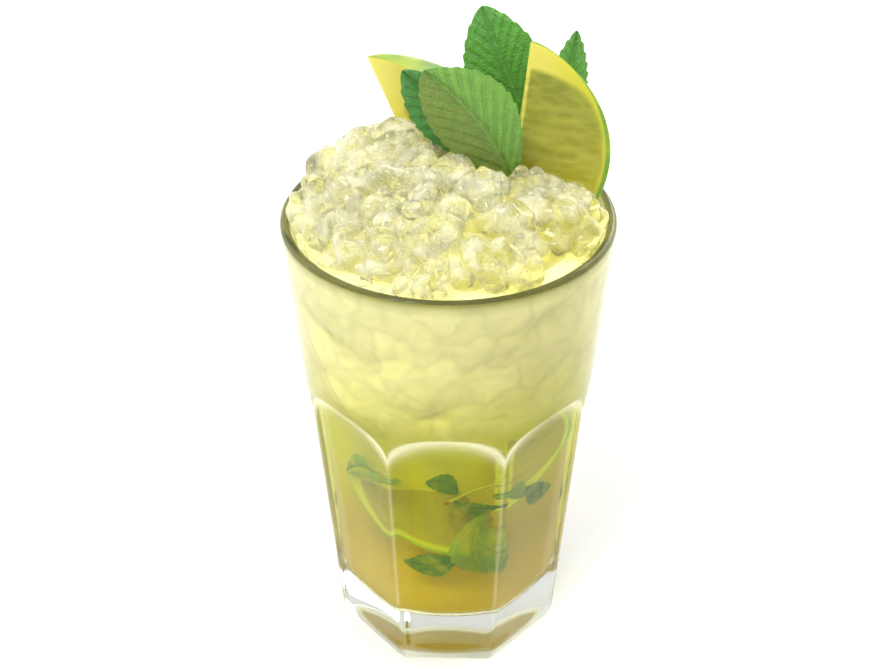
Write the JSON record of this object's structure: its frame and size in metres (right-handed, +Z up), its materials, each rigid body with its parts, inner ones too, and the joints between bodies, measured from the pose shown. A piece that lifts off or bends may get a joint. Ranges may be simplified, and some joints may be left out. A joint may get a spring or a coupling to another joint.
{
  "type": "mojito cocktail",
  "caption": "Iced lime and mint drink in a tall glass tumbler with arched flat panels, heaped with crushed ice, lime wedges and mint leaves.",
  "frame": {"origin": "centre of the tumbler's foot, on the surface it stands on", "axes": "+Z up along the tumbler's axis, -Y towards the side with the front mint leaf, +X to that side's right, where the taller lime wedge stands"},
  "size_m": [0.086, 0.086, 0.1785],
  "materials": {
    "glass": "clear pressed glass, polished",
    "drink": "cloudy pale lime liquid, amber at the bottom",
    "ice": "wet crushed ice, translucent",
    "lime": "juicy flesh, pale pith and thin green rind",
    "mint": "fresh veined leaf, slightly glossy"
  },
  "bodies": {
    "root": {"glass": "glass", "drink": "drink", "crushed_ice": "ice", "lime_wedge_left": "lime", "lime_wedge_right": "lime", "mint_leaf_front": "mint", "mint_leaf_left": "mint", "mint_leaf_right": "mint", "mint_leaf_tall": "mint"}
  },
  "joints": []
}
